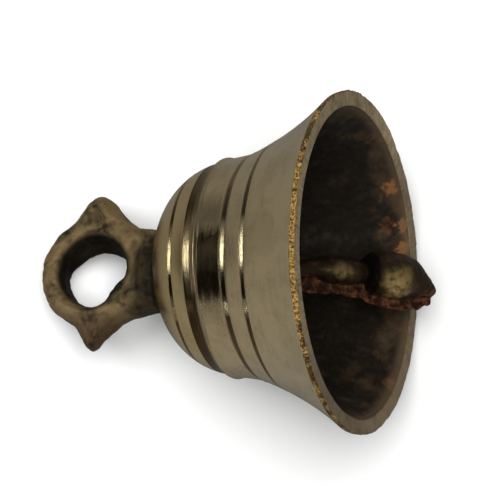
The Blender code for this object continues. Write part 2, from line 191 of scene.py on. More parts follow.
def radius_at(contour, z):
    """Radius of a contour at one height."""
    for (r0, z0), (r1, z1) in zip(contour, contour[1:]):
        if min(z0, z1) <= z <= max(z0, z1) and z0 != z1:
            return r0 + (r1 - r0) * (z - z0) / (z1 - z0)
    raise ValueError("the contour doesn't reach this height")


def cut_groove(contour, z, width, depth, burr):
    """The contour, running down, with a flat-floored groove and its raised burrs."""
    reach = 0.75
    top = z + width * reach
    bottom = z - width * reach
    floor = radius_at(contour, z) - depth
    cut = [point for point in contour if point[1] > top]
    for place, sink in GROOVE_SECTION:
        height = z + place * width / 2
        surface = radius_at(contour, height)
        if sink > 0.0:
            cut.append((surface + (floor - surface) * sink, height))
        else:
            cut.append((surface - burr * sink, height))
    return cut + [point for point in contour if point[1] < bottom]


def spun(outline, zones, steps, closed):
    """A shape turned about Z; each vertex keeps the zone number of its outline point."""
    shape = bmesh.new()
    zone_layer = shape.verts.layers.float.new("zone")
    verts = []
    for (radius, height), zone in zip(outline, zones):
        vert = shape.verts.new((radius, 0.0, height))
        vert[zone_layer] = zone
        verts.append(vert)
    edges = [shape.edges.new(pair) for pair in zip(verts, verts[1:])]
    if closed:
        edges.append(shape.edges.new((verts[-1], verts[0])))
    bmesh.ops.spin(
        shape,
        geom=verts + edges,
        cent=(0.0, 0.0, 0.0),
        axis=(0.0, 0.0, 1.0),
        dvec=(0.0, 0.0, 0.0),
        angle=2 * math.pi,
        steps=steps,
        use_merge=True,
        use_duplicate=False,
    )
    bmesh.ops.remove_doubles(shape, verts=shape.verts, dist=WELD)
    bmesh.ops.recalc_face_normals(shape, faces=shape.faces)
    return shape


def merged_copy(node):
    """A CAD node's mesh with its loose triangles joined, on the upright bell's axes."""
    shape = bmesh.new()
    shape.from_mesh(frame["nodes"][node].data)
    bmesh.ops.remove_doubles(shape, verts=shape.verts, dist=WELD)
    shape.transform(BELL_AXES_BACK)
    return shape


def remeshed(shape, grain, smoothing):
    """The shape as one even, closed skin, its corners softened."""
    mesh = bpy.data.meshes.new("rough_shape")
    shape.to_mesh(mesh)
    shape.free()
    rough = bpy.data.objects.new("rough_shape", mesh)
    bpy.context.scene.collection.objects.link(rough)
    skin = rough.modifiers.new("skin", "REMESH")
    skin.mode = "VOXEL"
    skin.voxel_size = grain
    soften = rough.modifiers.new("soften", "SMOOTH")
    soften.factor = 0.5
    soften.iterations = smoothing
    evaluated = rough.evaluated_get(bpy.context.evaluated_depsgraph_get())
    result = bmesh.new()
    result.from_mesh(evaluated.to_mesh())
    evaluated.to_mesh_clear()
    bpy.data.objects.remove(rough)
    bpy.data.meshes.remove(mesh)
    bmesh.ops.recalc_face_normals(result, faces=result.faces)
    return result


def lumps(point, size, octaves):
    """Casting lumps between about -1 and 1, of one size."""
    return noise.fractal(point / size, 0.6, 2.2, octaves, noise_basis="PERLIN_ORIGINAL")


def even_step(value, low, high):
    """Share of the way from low to high, between 0 and 1."""
    return min(max((value - low) / (high - low), 0.0), 1.0)


def smooth_step(value, low, high):
    """Share of the way from low to high, starting and ending gently."""
    share = even_step(value, low, high)
    return share * share * (3.0 - 2.0 * share)


def from_rows(rows, far, step):
    """Value at one distance between rows of distance and value, nothing outside them."""
    for (near_end, first), (far_end, second) in zip(rows, rows[1:]):
        if near_end <= far <= far_end:
            return first + (second - first) * step(far, near_end, far_end)
    return 0.0


def push_out(shape, height):
    """Moves every place along its normal by the height given for its vertex, all at once."""
    shape.normal_update()
    moves = [(vert, vert.normal * height(vert)) for vert in shape.verts]
    for vert, move in moves:
        vert.co += move


def mark_wear(shape, reach):
    """Stores how proud (1) or hollow (0) each place is, for the finishes."""
    shape.normal_update()
    wear_layer = shape.verts.layers.float.new("wear")
    raw = {}
    for vert in shape.verts:
        total = 0.0
        for edge in vert.link_edges:
            offset = edge.other_vert(vert).co - vert.co
            total -= vert.normal.dot(offset) / max(offset.length_squared, 1e-12)
        raw[vert.index] = total / max(len(vert.link_edges), 1) * reach
    for _ in range(3):
        blurred = {}
        for vert in shape.verts:
            near = [raw[edge.other_vert(vert).index] for edge in vert.link_edges]
            blurred[vert.index] = (raw[vert.index] + sum(near)) / (1 + len(near))
        raw = blurred
    for vert in shape.verts:
        vert[wear_layer] = min(max(0.5 + raw[vert.index], 0.0), 1.0)


def finish_piece(shape, name, body, node, materials):
    """Lays the shape down with the bell and makes it a piece of the model."""
    shape.transform(BELL_AXES)
    for face in shape.faces:
        face.smooth = True
    mesh = bpy.data.meshes.new(name)
    shape.to_mesh(mesh)
    shape.free()
    for material in materials:
        mesh.materials.append(material)
    piece = bpy.data.objects.new(name, mesh)
    bpy.context.scene.collection.objects.link(piece)
    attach(piece, body)
    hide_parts(node)
    return piece


# ---------------------------------------------------------------- finish helpers


class Nodes:
    """A node tree under construction; most methods add one node and give its output."""

    def __init__(self, tree):
        self.tree = tree

    def feed(self, socket, value):
        """Links another node's output to a socket, or stores a constant on it."""
        if isinstance(value, bpy.types.NodeSocket):
            self.tree.links.new(value, socket)
        else:
            socket.default_value = value

    def node(self, kind, values=(), **settings):
        made = self.tree.nodes.new(kind)
        for key, value in settings.items():
            setattr(made, key, value)
        for socket, value in values:
            self.feed(made.inputs[socket], value)
        return made

    def parts(self, vector):
        x, y, z = self.node("ShaderNodeSeparateXYZ", [(0, vector)]).outputs
        return x, y, z

    def joined(self, x, y, z=0.0):
        return self.node("ShaderNodeCombineXYZ", [(0, x), (1, y), (2, z)]).outputs[0]

    def vector(self, operation, first, second=(0.0, 0.0, 0.0)):
        return self.node("ShaderNodeVectorMath", [(0, first), (1, second)], operation=operation)

    def math(self, operation, first, second=0.0):
        made = self.node("ShaderNodeMath", [(0, first), (1, second)], operation=operation)
        return made.outputs[0]

    def times(self, first, second):
        return self.math("MULTIPLY", first, second)

    def plus(self, first, second):
        return self.math("ADD", first, second)

    def off(self, value, middle):
        """How far a value is from a middle, to either side."""
        return self.math("ABSOLUTE", self.plus(value, -middle))

    def sway(self, grain, reach):
        """A grain from 0 to 1 made to go equally far to either side of nothing."""
        return self.times(self.plus(grain, -0.5), reach)

    def band(self, value, low, high, to_low=0.0, to_high=1.0, kind="SMOOTHSTEP"):
        """A step of a value from low to high, smooth unless told otherwise."""
        ends = [("From Min", low), ("From Max", high), ("To Min", to_low), ("To Max", to_high)]
        return self.node(
            "ShaderNodeMapRange", [("Value", value), *ends], interpolation_type=kind
        ).outputs[0]

    def mix(self, share, first, second):
        """The first colour, turned into the second one by a share."""
        pair = [
            value if isinstance(value, bpy.types.NodeSocket) else (*value, 1.0)
            for value in (first, second)
        ]
        return self.node(
            "ShaderNodeMix", [(0, share), (6, pair[0]), (7, pair[1])], data_type="RGBA"
        ).outputs[2]

    def stain(self, base, colour, share, most):
        """The base colour with a stain, at its most where the share is 1."""
        return self.mix(self.times(share, most), base, colour)


class Finish(Nodes):
    """A material under construction, laid out on the upright bell."""

    def __init__(self, name):
        self.material = bpy.data.materials.new(name)
        self.material.use_nodes = True
        super().__init__(self.material.node_tree)
        self.shader = self.tree.nodes["Principled BSDF"]
        self.place = None

    def done(self, base, metallic, roughness, relief=None):
        """The finished material."""
        sockets = self.shader.inputs
        self.feed(sockets["Base Color"], base)
        self.feed(sockets["Metallic"], metallic)
        self.feed(sockets["Roughness"], roughness)
        if relief is not None:
            self.feed(sockets["Normal"], relief)
        return self.material

    def bell_place(self):
        """Position on the upright bell, in millimetres."""
        if self.place is None:
            coordinates = self.node("ShaderNodeTexCoord")
            lying = self.node(
                "ShaderNodeMapping",
                [
                    ("Vector", coordinates.outputs["Object"]),
                    ("Location", BELL_AXES_BACK.translation),
                    ("Rotation", BELL_AXES_BACK.to_euler()),
                ],
            )
            scale = (1000.0, 1000.0, 1000.0)
            self.place = self.vector("MULTIPLY", lying.outputs[0], scale).outputs[0]
        return self.place

    def stretch(self, x, y, z):
        """The position with each direction stretched on its own."""
        return self.vector("MULTIPLY", self.bell_place(), (x, y, z)).outputs[0]

    def axes(self):
        return self.parts(self.bell_place())

    def grain(self, scale, detail=4.0, rough=0.55, bend=0.0, place=None):
        """Noise from 0 to 1, over the bell's own place unless given another."""
        values = [("Vector", place or self.bell_place()), ("Scale", scale), ("Detail", detail)]
        values += [("Roughness", rough), ("Distortion", bend)]
        return self.node("ShaderNodeTexNoise", values).outputs[0]

    def spots(self, scale):
        values = [("Vector", self.bell_place()), ("Scale", scale)]
        return self.node("ShaderNodeTexVoronoi", values, feature="F1").outputs["Distance"]

    def bump(self, height, distance, strength=1.0, before=None):
        values = [("Height", height), ("Distance", distance), ("Strength", strength)]
        if before is not None:
            values.append(("Normal", before))
        return self.node("ShaderNodeBump", values).outputs[0]

    def near(self, middle, reach, ragged):
        """One inside a ragged spot round a place in millimetres, nothing outside."""
        away = self.vector("DISTANCE", self.bell_place(), middle).outputs["Value"]
        return self.band(self.plus(away, ragged), reach, reach * 0.45)

    def along(self, direction, start):
        """Distance in millimetres along a direction from a starting place."""
        reach = self.vector("DOT_PRODUCT", self.bell_place(), direction).outputs["Value"]
        return self.plus(reach, -1000.0 * start.dot(direction))

    def attribute(self, name):
        return self.node("ShaderNodeAttribute", attribute_name=name).outputs["Fac"]


# colours of stains, worn places, painted shade, painted highlights and painted reflections
CROWN_BROWN = (0.26, 0.17, 0.075)
WAIST_SMUDGE_AND_REFLECTION = (0.050, 0.033, 0.015)
WARM_DOME = (0.72, 0.51, 0.21)
COVE_DIRT_AND_DARK_REFLECTION = (0.095, 0.055, 0.022)
PIT_DIRT = (0.06, 0.04, 0.02)
SCRATCH_DIRT = (0.12, 0.08, 0.04)
RIM_BROWN = (0.34, 0.165, 0.050)
RIM_DIRT_AND_SHADE = (0.060, 0.034, 0.015)
LIP_FILM = (0.33, 0.22, 0.12)
FILE_MARKS = (0.20, 0.13, 0.065)
LIP_LOW = (0.27, 0.175, 0.095)
LIP_DARK_REFLECTION = (0.20, 0.135, 0.080)
SOOT_THIN = (0.034, 0.025, 0.017)
BARE_GREY = (0.040, 0.042, 0.044)
SKIN_BROWN = (0.105, 0.066, 0.034)
COPPER_GLINT = (0.50, 0.215, 0.070)
MOUTH_SLOPE_LIGHT = (0.19, 0.130, 0.075)
LOWER_WING_SHADE = (0.085, 0.050, 0.028)
HOLLOW_SHADE = (0.014, 0.011, 0.008)
VERDIGRIS = (0.07, 0.085, 0.06)
CLAPPER_SKIN = (0.045, 0.030, 0.015)
NECK_SHADE = (0.010, 0.009, 0.008)
FLASH_DARK = (0.05, 0.022, 0.014)
FLASH_TORN = (0.34, 0.13, 0.06)
OLD_BRASS = (0.42, 0.30, 0.14)
OLD_FILM = (0.10, 0.065, 0.035)
WIRE_RUST = (0.16, 0.065, 0.03)

# painted orange glints inside the mouth, in copper colour, in millimetres on the upright bell: middle and reach
COPPER_GLINT_SPOTS = (
    ((-25.8, 6.8, 1.1), 1.9),
    ((-25.0, 11.0, 1.3), 1.5),
    ((-20.6, 17.0, 1.9), 1.7),
)


def turned_brass_finish(colours):
    """Bright turned brass with a thin film, turning lines, dirt in the grooves and pits; painted highlight strips
    in the grooves, a painted dark reflection on the waist and in the cove, darker brown towards the crown.
    """
    made = Finish("turned_brass_bright")
    x, y, z = made.axes()
    cloud = made.grain(0.16, 5.0, 0.6, 0.4)
    streak = made.grain(1.6, 5.0, 0.65, place=made.stretch(0.10, 0.10, 1.0))
    film = made.times(made.band(made.plus(cloud, made.times(streak, 0.5)), 0.62, 0.98), 0.30)
    base = made.mix(film, tuple(colours.brass), tuple(colours.tarnish))
    # Darker brown towards the crown.
    crown_darkening = made.band(made.plus(z, made.times(cloud, 4.0)), 27.5, 36.5)
    base = made.stain(base, CROWN_BROWN, crown_darkening, 0.65)
    # The dark smudge on the waist, on the side turned up, is partly dirt and partly a painted dark reflection.
    smudge_and_reflection_high = made.band(made.off(z, 20.4), 2.7, 2.0)
    ragged = made.plus(y, made.sway(streak, 5.0))
    smudge_and_reflection_wide = made.band(made.off(ragged, -2.2), 7.0, 4.6)
    smudge_and_reflection_top = made.band(x, 0.0, 8.0)
    smudge_and_dark_reflection = made.times(made.times(smudge_and_reflection_high, smudge_and_reflection_wide), smudge_and_reflection_top)
    base = made.stain(base, WAIST_SMUDGE_AND_REFLECTION, smudge_and_dark_reflection, 0.96)
    dome = made.times(made.band(z, 23.0, 26.0), 0.50)
    base = made.mix(dome, base, WARM_DOME)
    groove = made.attribute("groove")
    # The dirt in the grooves is thinned along two bands of height, as the bell lies, where the lamps' highlights
    # fall: a painted highlight.
    highlight_strips = made.band(made.off(y, 1.0), 5.2, 3.2)
    highlight_strips = made.math("MAXIMUM", highlight_strips, made.band(made.off(y, -10.0), 1.4, 0.7))
    dirt = made.times(made.band(groove, 0.15, 0.60), made.plus(0.90, made.times(highlight_strips, -0.75)))
    # The groove dirt is thinner towards the top as the bell lies.
    dirt = made.times(dirt, made.band(y, 5.5, 9.0, 1.0, 0.68))
    base = made.mix(dirt, base, tuple(colours.groove_dirt))
    # Brown dirt in the cove, made darker towards its bottom and its top as the bell lies: that extra darkness is a
    # painted dark reflection.
    cove = made.band(made.off(z, 24.2), 1.45, 1.0)
    cove_low_dark_reflection = made.times(made.band(made.plus(y, made.times(cloud, 3.0)), -4.0, -6.5), 0.68)
    cove_high_dark_reflection = made.times(made.band(y, 5.0, 9.0), 0.50)
    cove = made.times(cove, made.plus(0.30, made.plus(cove_low_dark_reflection, cove_high_dark_reflection)))
    base = made.mix(cove, base, COVE_DIRT_AND_DARK_REFLECTION)
    pit_field = made.band(made.grain(0.35, 2.0), 0.56, 0.66)
    pits = made.times(made.band(made.spots(1.5), 0.16, 0.07), pit_field)
    base = made.stain(base, PIT_DIRT, pits, 0.8)
    hair = made.grain(1.5, 3.0, 0.55, 0.8, place=made.stretch(0.40, 1.3, 0.30))
    hair = made.band(made.off(hair, 0.5), 0.010, 0.002)
    hair = made.times(hair, made.band(cloud, 0.42, 0.56))
    base = made.stain(base, SCRATCH_DIRT, hair, 0.45)
    rubbed = made.grain(0.9, 6.0, 0.7, place=made.stretch(0.5, 0.5, 3.0))
    rough = made.plus(0.13, made.times(rubbed, 0.12))
    rough = made.plus(rough, made.times(film, 0.30))
    rough = made.plus(rough, made.times(dirt, -0.10))
    lines = made.grain(6.5, 3.0, 0.6, place=made.stretch(0.06, 0.06, 1.0))
    scratches = made.grain(2.4, 4.0, 0.65, 1.2, place=made.stretch(0.45, 1.5, 0.35))
    relief = made.bump(lines, 0.000028)
    relief = made.bump(scratches, 0.000022, 1.0, relief)
    relief = made.bump(pits, -0.00006, 1.0, relief)
    return made.done(base, 1.0, rough, relief)


def nicked_rim_finish(colours):
    """Fresh gold-coloured metal, torn and nicked, round the outside of the mouth, with painted shade towards its
    top and bottom.
    """
    made = Finish("nicked_rim")
    tears = made.grain(2.3, 5.0, 0.72)
    specks = made.grain(0.55, 6.0, 0.75)
    _, y, _ = made.axes()
    # Besides the dark specks, the rim gets painted shade towards its top and bottom as the bell lies.
    ends = made.band(made.off(y, -1.0), 8.0, 17.0)
    base = made.mix(made.band(tears, 0.44, 0.66), tuple(colours.gold), RIM_BROWN)
    dark = made.band(made.plus(specks, made.times(ends, 0.12)), 0.52, 0.64)
    base = made.stain(base, RIM_DIRT_AND_SHADE, dark, 0.85)
    return made.done(
        base,
        made.band(tears, 0.40, 0.62, 0.55, 1.0),
        made.plus(0.10, made.times(specks, 0.25)),
        made.bump(tears, 0.00065),
    )


def filed_lip_finish(colours):
    """The mouth's flat face: file marks across it, darker patches, a few dents and a painted dark reflection on
    the side that lies lowest.
    """
    made = Finish("filed_lip")
    x, y, _ = made.axes()
    radius = made.math("SQRT", made.plus(made.times(x, x), made.times(y, y)))
    across_x = made.math("DIVIDE", x, radius)
    across_y = made.math("DIVIDE", y, radius)
    spokes = made.joined(
        made.times(across_x, 60.0), made.times(across_y, 60.0), made.times(radius, 0.35)
    )
    marks = made.grain(1.3, 3.0, 0.65, 0.3, place=spokes)
    patches = made.grain(0.28, 5.0, 0.6)
    base = made.stain(tuple(colours.brass), LIP_FILM, made.band(patches, 0.42, 0.72), 0.65)
    base = made.stain(base, FILE_MARKS, made.band(marks, 0.48, 0.66), 0.55)
    low_side = made.plus(across_x, made.sway(patches, 0.30))
    # On the side that lies lowest, the lip gets a painted dark reflection.
    dark_reflection_side = made.band(low_side, -0.48, -0.80)
    bottom = made.band(made.plus(across_y, made.times(patches, 0.30)), -0.30, -0.75)
    base = made.stain(base, LIP_LOW, bottom, 0.65)
    base = made.stain(base, LIP_DARK_REFLECTION, dark_reflection_side, 0.55)
    return made.done(
        base,
        made.band(low_side, 0.0, -0.60, 1.0, 0.82),
        made.plus(0.30, made.times(patches, 0.22)),
        made.bump(marks, 0.00016),
    )


def cast_inside_finish(colours):
    """The inside as cast: nearly black skin, brown and orange patches, dull in patches; painted orange glints and
    painted light on the slope at the mouth.
    """
    made = Finish("cast_inside")
    cloud = made.grain(0.20, 6.0, 0.62, 0.1)
    mottle = made.grain(0.9, 5.0, 0.7)
    patch = made.grain(0.13, 5.0, 0.66, 0.15, place=made.stretch(1.0, 1.0, 0.8))
    _, _, z = made.axes()
    near_mouth = made.band(z, 8.0, 0.0)
    base = made.mix(made.band(mottle, 0.40, 0.80), tuple(colours.soot), SOOT_THIN)
    steel = made.times(made.band(made.grain(0.32, 4.0, 0.6), 0.54, 0.72), 0.5)
    base = made.mix(steel, base, BARE_GREY)
    brown = made.times(made.band(made.plus(cloud, made.times(near_mouth, 0.22)), 0.54, 0.84), 0.85)
    base = made.mix(brown, base, SKIN_BROWN)
    rusty = made.times(made.band(made.plus(patch, made.times(near_mouth, 0.10)), 0.64, 0.78), 0.60)
    base = made.mix(rusty, base, tuple(colours.rust))
    # Copper-coloured spots where orange glints show inside the mouth: painted glints.
    for middle, reach in COPPER_GLINT_SPOTS:
        near = made.near(middle, reach, made.sway(mottle, 5.5))
        base = made.stain(base, COPPER_GLINT, near, 0.58)
    # A lighter brown band on the slope just inside the mouth: painted light over its shade.
    lit_mouth_slope = made.band(made.plus(z, made.sway(cloud, 3.0)), 1.9, 0.1)
    base = made.stain(base, MOUTH_SLOPE_LIGHT, lit_mouth_slope, 0.62)
    relief = made.bump(made.grain(1.6, 4.0, 0.6), 0.00008)
    return made.done(base, 0.55, made.plus(0.42, made.times(mottle, 0.25)), relief)


def cast_loop_finish(colours):
    """Bronze-brown casting skin, worn to soft gold on its high places, black in its low ones, with painted shade
    on its lower wing, in its hole and at its root.
    """
    made = Finish("cast_loop_skin")
    _, y, _ = made.axes()
    cloud = made.grain(0.22, 6.0, 0.62, 0.5)
    mottle = made.grain(1.1, 5.0, 0.7)
    wear = made.attribute("wear")
    hollow_shade = made.attribute("hollow_shade")
    worn = made.plus(made.times(wear, 1.1), made.times(cloud, 1.7))
    worn = made.plus(worn, made.times(mottle, 0.25))
    base = made.mix(made.band(worn, 1.22, 1.74), tuple(colours.bronze_dark), tuple(colours.bronze))
    # The wing lying lower is darkened: painted shade.
    lower_wing_shade = made.band(made.plus(y, made.times(cloud, 5.0)), -3.0, -8.0)
    base = made.stain(base, LOWER_WING_SHADE, lower_wing_shade, 0.62)
    # Painted shade in the hole, at the root and on the collar.
    base = made.stain(base, HOLLOW_SHADE, hollow_shade, 0.93)
    green = made.times(made.band(made.grain(0.5, 3.0), 0.60, 0.75), 0.25)
    base = made.mix(green, base, VERDIGRIS)
    relief = made.bump(mottle, 0.00011)
    relief = made.bump(made.grain(5.0, 3.0), 0.00003, 1.0, relief)
    return made.done(base, 0.85, made.plus(0.42, made.times(mottle, 0.28)), relief)


def cast_clapper_finish(colours):
    """Rough cast brass: reddish skin, painted highlights in brass colour on the ball and the swelling, dark flash.
    """
    made = Finish("cast_clapper_skin")
    cloud = made.grain(0.30, 5.0, 0.60, 0.2)
    mottle = made.grain(0.9, 4.0, 0.62)
    _, y, _ = made.axes()
    far = made.along(clapper_directions()[0], PIVOT)
    flash = made.attribute("flash")
    uneven = made.sway(cloud, 5.5)
    across = made.plus(y, made.sway(mottle, 2.0))
    # The ball and the swelling get painted highlights, on the front of the ball and along the swelling; worn
    # carries them here, not wear.
    ball = made.joined(made.plus(far, -25.9), made.plus(across, 1.0))
    ball = made.vector("LENGTH", ball).outputs["Value"]
    ball = made.band(made.plus(ball, uneven), 4.2, 0.4)
    swelling = made.off(far, 15.6)
    swelling = made.plus(swelling, made.times(made.off(across, 0.4), 1.8))
    swelling = made.times(made.band(made.plus(swelling, uneven), 4.0, 0.6), 0.45)
    worn = made.math("MAXIMUM", ball, swelling)
    worn = made.times(worn, made.band(mottle, 0.30, 0.60, 0.25, 1.0))
    base = made.mix(worn, CLAPPER_SKIN, tuple(colours.clapper_highlight_brass))
    red = made.band(made.grain(0.45, 5.0, 0.7), 0.50, 0.70)
    base = made.stain(base, tuple(colours.clapper_brown), red, 0.45)
    shade = made.times(made.band(far, 20.0, 21.2), made.band(far, 23.6, 22.2))
    base = made.stain(base, NECK_SHADE, shade, 0.85)
    torn = made.mix(made.band(mottle, 0.42, 0.68), FLASH_DARK, FLASH_TORN)
    base = made.stain(base, torn, flash, 0.85)
    relief = made.bump(mottle, 0.00008)
    return made.done(base, 0.85, made.plus(0.32, made.times(mottle, 0.22)), relief)


def dull_brass_finish(colours):
    """Old brass of the washer and the nut, with a dull brown film."""
    made = Finish("dull_brass_film")
    cloud = made.grain(0.5, 5.0, 0.65)
    lines = made.grain(5.0, 3.0, place=made.stretch(0.1, 0.1, 1.0))
    base = made.mix(made.band(cloud, 0.35, 0.70), OLD_BRASS, OLD_FILM)
    return made.done(
        base,
        1.0,
        made.plus(0.35, made.times(cloud, 0.25)),
        made.bump(lines, 0.00003),
    )


def iron_wire_finish(colours):
    """Dark drawn wire with rust in patches."""
    made = Finish("iron_wire_rusted")
    cloud = made.grain(0.8, 5.0, 0.7)
    fine = made.grain(4.0, 4.0, 0.7)
    base = made.mix(made.band(cloud, 0.45, 0.68), tuple(colours.iron), WIRE_RUST)
    return made.done(base, 0.7, made.plus(0.40, made.times(fine, 0.3)), made.bump(fine, 0.00004))


FLOOR_FADE = (-0.12, 0.10)   # from the near side to the far one, in metres
FLOOR_NEAR = (0.200, 0.206, 0.206)
FLOOR_FAR = (0.140, 0.139, 0.136)


def floor_finish(colours):
    """Pale even paper; polished metal sees it a few stops darker than the eye does."""
    made = Finish("pale_floor")
    _, y, _ = made.parts(made.node("ShaderNodeTexCoord").outputs["Object"])
    shade = made.mix(made.band(y, *FLOOR_FADE), FLOOR_NEAR, FLOOR_FAR)
    mirrored = made.node("ShaderNodeLightPath").outputs["Is Glossy Ray"]
    made.shader.inputs["Specular IOR Level"].default_value = 0.1
    return made.done(made.mix(mirrored, tuple(colours.floor), shade), 0.0, 0.9)


# ---------------------------------------------------------------- pieces

TURNED, NICKED, FILED, CAST = 0, 1, 2, 3
CORNER_POINTS = 4            # points on the round corner just inside the mouth
# place across a half groove, and how far down to the floor the surface is there
GROOVE_SIDE = (
    (1.5, 0.0),
    (1.2, -0.6),
    (1.02, -1.0),
    (0.94, 0.45),
    (0.86, 0.86),
    (0.76, 1.0),
    (0.38, 1.0),
)
GROOVE_FAR_SIDE = tuple((-place, sink) for place, sink in reversed(GROOVE_SIDE))
GROOVE_SECTION = (*GROOVE_SIDE, (0.0, 1.0), *GROOVE_FAR_SIDE)
# drop of the groove's middle, its width, its depth and the height of its burrs
GROOVES = (
    (0.00565, 0.00080, 0.00026, 0.00003),
    (0.00885, 0.00035, 0.00012, 0.00001),
    (0.01665, 0.00115, 0.00034, 0.00005),
    (0.02105, 0.00095, 0.00030, 0.00004),
)


def bell_outside(sizes):
    """Outside of the bell from the crown flat down to the mouth, running down."""
    top = sizes.height
    shoulder = (sizes.shoulder_radius, top - sizes.shoulder_drop)
    band = (sizes.band_radius, top - sizes.band_drop)
    waist = (sizes.waist_radius, top - sizes.waist_drop)
    flare = (sizes.flare_radius, top - sizes.flare_drop)
    rim = (sizes.mouth_radius - 0.00015, sizes.rim_land)
    contour = [(sizes.crown_radius, top)]
    contour += arc_points(contour[0], shoulder, 0.00125, 20)
    cove = (shoulder[0] + 0.00004, shoulder[1] - 0.0014)
    contour += line_points(shoulder, cove, 6)
    contour += arc_points(cove, (band[0] - 0.0001, band[1] + 0.0002), -0.00012, 6)
    contour += arc_points(contour[-1], (band[0] - 0.0001, band[1] - 0.0002), 0.00008, 4)
    contour += arc_points(contour[-1], waist, -0.00010, 4)
    contour += line_points(waist, flare, 8)
    contour += arc_points(flare, rim, -0.00084, 26)
    for drop, width, depth, burr in GROOVES:
        contour = cut_groove(contour, top - drop, width, depth, burr)
    return contour


def bell_inside(sizes):
    """Inside of the bell from the lip's inner edge up to the inner crown."""
    top = sizes.height
    mouth = (sizes.mouth_radius - sizes.lip_width, 0.0)
    corner = (mouth[0] - 0.0002, 0.0003)
    seat = (mouth[0] - 0.0020, 0.0035)
    waist = (sizes.flare_radius - sizes.wall, top - sizes.flare_drop)
    shoulder = (sizes.waist_radius - sizes.wall, top - 0.0101)
    crown = (0.0085, top - sizes.crown_wall)
    contour = arc_points(mouth, corner, 0.00006, CORNER_POINTS)
    contour += line_points(corner, seat, 7)
    contour += arc_points(seat, waist, 0.00010, 24)
    contour += line_points(waist, shoulder, 6)
    contour += arc_points(shoulder, crown, -0.0013, 14)
    contour += line_points(crown, (sizes.bore_radius, top - sizes.crown_wall), 5)
    return contour


def bell_outline(sizes):
    """The whole wall as a closed outline, with the zone of each point."""
    top = sizes.height
    outline, zones = [], []

    def add(points, zone):
        outline.extend(points)
        zones.extend([zone] * len(points))

    bore_top = (sizes.bore_radius, top)
    add([bore_top], TURNED)
    add(line_points(bore_top, (sizes.crown_radius, top), 6)[:-1], TURNED)
    add(bell_outside(sizes), TURNED)
    rim_low = (sizes.mouth_radius, 0.00018)
    lip_out = (sizes.mouth_radius - 0.00018, 0.0)
    lip_in = (sizes.mouth_radius - sizes.lip_width, 0.0)
    add(line_points(outline[-1], rim_low, 4), NICKED)
    add(line_points(rim_low, lip_out, 2), NICKED)
    add(line_points(lip_out, lip_in, 9), FILED)
    inside = bell_inside(sizes)
    add(inside[:CORNER_POINTS], FILED)
    add(inside[CORNER_POINTS:], CAST)
    add([(sizes.bore_radius, top - sizes.crown_wall / 2)], CAST)
    return outline, zones


def surface_height(place, zone, sizes):
    """Departure from true of one place: nicks round the mouth, lumps inside, a few dents."""
    if zone > (FILED + CAST) / 2:
        fade = 0.25 + 0.75 * smooth_step(place.z, 0.0, 0.002)
        away = lumps(place, 0.0036, 3) + 0.4 * lumps(place, 0.0009, 2)
        return away * sizes.cast_roughness * fade
    if zone > (NICKED + FILED) / 2:
        outer = smooth_step(place.xy.length, sizes.mouth_radius - 0.0006, sizes.mouth_radius)
        dent = abs(lumps(place, 0.0009, 2)) * sizes.rim_roughness * 0.5 * outer
        return lumps(place, 0.0030, 2) * 0.00003 - dent
    if zone > (TURNED + NICKED) / 2:
        chips = max(lumps(place, 0.0022, 2) - 0.25, 0.0)
        upper = 0.30 + 0.70 * smooth_step(place.x, -0.010, 0.008)
        away = lumps(place, 0.0011, 3) * upper * 1.3 + lumps(place, 0.0060, 2) * 0.8 - chips * 1.6
        return away * sizes.rim_roughness
    return lumps(place, 0.011, 2) * 0.00002 + lumps(place, 0.003, 2) * 0.000005


def zone_materials(shape):
    """Each face gets the finish of the zone that it lies in."""
    zone_layer = shape.verts.layers.float["zone"]
    for face in shape.faces:
        face.material_index = round(max(vert[zone_layer] for vert in face.verts))
        if face.calc_center_median().xy.length < 0.004:
            face.material_index = CAST


def mark_grooves(shape, sizes):
    """Stores how deep in a groove each place is."""
    groove_layer = shape.verts.layers.float.new("groove")
    zone_layer = shape.verts.layers.float["zone"]
    for vert in shape.verts:
        if vert[zone_layer] != TURNED:
            continue
        for drop, width, _, _ in GROOVES:
            away = abs(vert.co.z - (sizes.height - drop)) / (width / 2)
            if away < 1.0:
                vert[groove_layer] = 1.0 - away ** 3


class BELL_OT_turn_bell(bpy.types.Operator):
    """Turn the bell's wall, nick its rim and roughen its inside"""

    bl_idname = "bell.turn_bell"
    bl_label = "Turn the bell"
    bl_options = {"REGISTER", "UNDO"}

    def execute(self, context):
        sizes = context.scene.bell_sizes
        colours = context.scene.bell_colours
        outline, zones = bell_outline(sizes)
        shape = spun(outline, zones, sizes.steps, True)
        mark_grooves(shape, sizes)
        zone_materials(shape)
        zone_layer = shape.verts.layers.float["zone"]
        push_out(shape, lambda vert: surface_height(vert.co, vert[zone_layer], sizes))
        finishes = [
            turned_brass_finish(colours),
            nicked_rim_finish(colours),
            filed_lip_finish(colours),
            cast_inside_finish(colours),
        ]
        finish_piece(shape, "bell_wall", "bell", "bell_body", finishes)
        return {"FINISHED"}


HOLE_HEIGHT = 0.0486         # middle of the loop's hole above the mouth face
HOLE_RADIUS = 0.0059
CROWN_HEIGHT = 0.0341
PIN_TOP = HOLE_HEIGHT - 0.0030
PIN_REACH = 0.0026           # the hanger's pin and its riveted head turn inside this radius
PIN_EASE = 0.00010           # its bore is eased by what smoothing takes away
BOSS_HALF = 0.0030           # half thickness that the boss keeps whole
LOOP_UP = Vector((0.0, 0.0, 1.0))
LOOP_THROUGH = LOOP_NORMAL.normalized()
LOOP_ACROSS = LOOP_UP.cross(LOOP_THROUGH)
HOLE_MIDDLE = Vector((0.0, 0.0, HOLE_HEIGHT))


def clear_of_pin(place):
    """Nothing close round the hanger's pin and its head, one elsewhere."""
    if place.z > PIN_TOP:
        return 1.0
    return smooth_step(place.xy.length, PIN_REACH, PIN_REACH + 0.0016)


